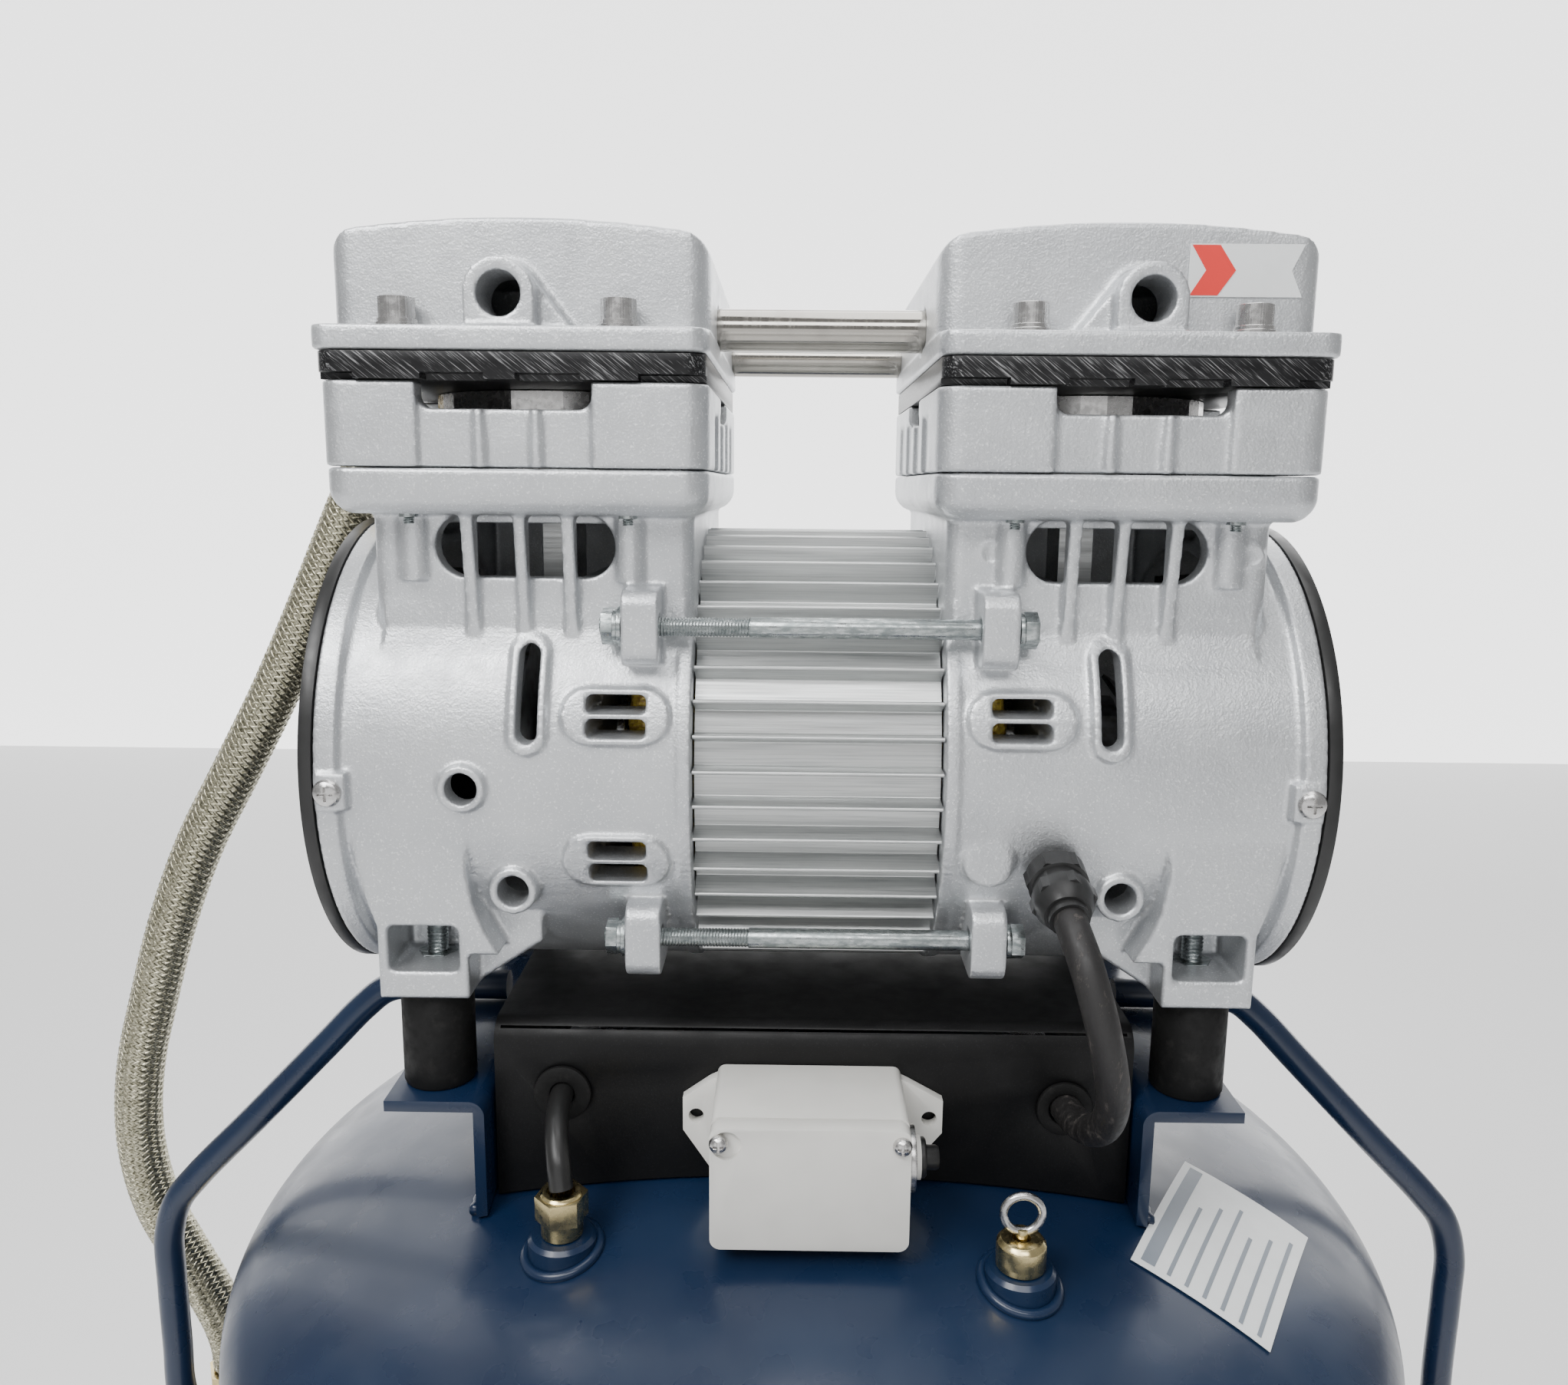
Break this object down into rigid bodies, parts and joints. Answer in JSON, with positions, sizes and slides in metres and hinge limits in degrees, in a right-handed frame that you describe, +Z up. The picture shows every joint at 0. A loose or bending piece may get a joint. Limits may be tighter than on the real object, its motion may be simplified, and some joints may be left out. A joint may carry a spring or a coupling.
{
  "type": "oil-free air compressor",
  "caption": "Oil-free piston air compressor: a twin-head pump with a finned motor between its crankcases, on a domed upright receiver tank with side handles.",
  "frame": {"origin": "bottom centre: on the floor, on the tank's vertical axis", "axes": "+Z up, +X along the crankshaft to the right seen from the front, -Y the front"},
  "size_m": [0.4406, 0.34, 0.6459],
  "materials": {
    "casting": "die cast, satin, fine orange-peel",
    "extrusion": "extruded, fine lines along the fins",
    "anodised_plate": "black, brushed",
    "polished_pipe": "polished",
    "zinc": "zinc plated",
    "steel": "machined",
    "copper": "varnished winding wire",
    "navy_paint": "gloss",
    "black_powder": "matte powder coat",
    "black_plastic": "moulded",
    "seal": "filled PTFE",
    "rubber": "moulded",
    "cable_sheath": "scuffed sleeve",
    "hose_braid": "braided wire",
    "brass_fitting": "machined",
    "ivory_plastic": "moulded"
  },
  "bodies": {
    "frame": {"crankcase_left": "casting", "cylinder_block_left": "casting", "cylinder_liner_left": "extrusion", "valve_plate_left": "anodised_plate", "head_cover_left": "casting", "end_cap_left": "black_plastic", "bearing_left": "steel", "winding_left": "copper", "bracket_left": "navy_paint", "handle_left": "navy_paint", "isolator_front_left": "rubber", "isolator_rear_left": "rubber", "crankcase_right": "casting", "cylinder_block_right": "casting", "cylinder_liner_right": "extrusion", "valve_plate_right": "anodised_plate", "head_cover_right": "casting", "end_cap_right": "black_plastic", "bearing_right": "steel", "winding_right": "copper", "bracket_right": "navy_paint", "handle_right": "navy_paint", "isolator_front_right": "rubber", "isolator_rear_right": "rubber", "stator_housing": "extrusion", "stator_core": "steel", "tie_rod_upper_front": "zinc", "tie_rod_lower_front": "zinc", "tie_rod_upper_rear": "zinc", "tie_rod_lower_rear": "zinc", "cross_pipe_front": "polished_pipe", "cross_pipe_rear": "polished_pipe", "cable_gland": "black_plastic", "motor_cable": "cable_sheath", "discharge_hose": "hose_braid", "check_valve": "brass_fitting", "sensing_tube": "black_plastic", "tube_fitting": "brass_fitting", "safety_valve": "brass_fitting", "control_box": "black_powder", "overload_box": "ivory_plastic", "hose_elbow": "brass_fitting", "tank_shell": "navy_paint", "base_ring": "navy_paint", "rubber_foot_1": "rubber", "rubber_foot_2": "rubber", "rubber_foot_3": "rubber"},
    "crank": {"crankshaft": "steel", "rotor": "steel", "eccentric_left": "steel", "eccentric_right": "steel", "fan_left": "black_plastic", "fan_right": "black_plastic"},
    "rod_left": {"connecting_rod_left": "casting", "piston_cup_left": "seal"},
    "rod_right": {"connecting_rod_right": "casting", "piston_cup_right": "seal"},
    "reset_button": {"reset_button": "black_plastic"},
    "safety_pull": {"safety_pull": "brass_fitting"},
    "drain_screw": {"drain_screw": "brass_fitting"}
  },
  "joints": [
    {"name": "crank_spin", "type": "hinge", "parent": "frame", "child": "crank", "pos_m": [0, 0, 0.51], "axis": [1, 0, 0], "continuous": true},
    {"name": "rod_right_swing", "type": "hinge", "parent": "crank", "child": "rod_right", "pos_m": [0.0727, 0, 0.516], "axis": [1, 0, 0], "continuous": true},
    {"name": "rod_left_swing", "type": "hinge", "parent": "crank", "child": "rod_left", "pos_m": [-0.0727, 0, 0.504], "axis": [1, 0, 0], "continuous": true},
    {"name": "reset_press", "type": "slide", "parent": "frame", "child": "reset_button", "axis": [-1, 0, 0], "range_m": [0, 0.0025], "stiffness_N_per_m": 400},
    {"name": "safety_pull", "type": "slide", "parent": "frame", "child": "safety_pull", "axis": [0, 0, 1], "range_m": [0, 0.004], "stiffness_N_per_m": 600},
    {"name": "drain_turn", "type": "hinge", "parent": "frame", "child": "drain_screw", "pos_m": [0, 0, 0.046], "axis": [0, 0, 1], "range_deg": [0, 270]}
  ],
  "couplings": [
    {"joint": "rod_right_swing", "follows": "crank_spin", "ratio": -1},
    {"joint": "rod_left_swing", "follows": "crank_spin", "ratio": -1}
  ]
}
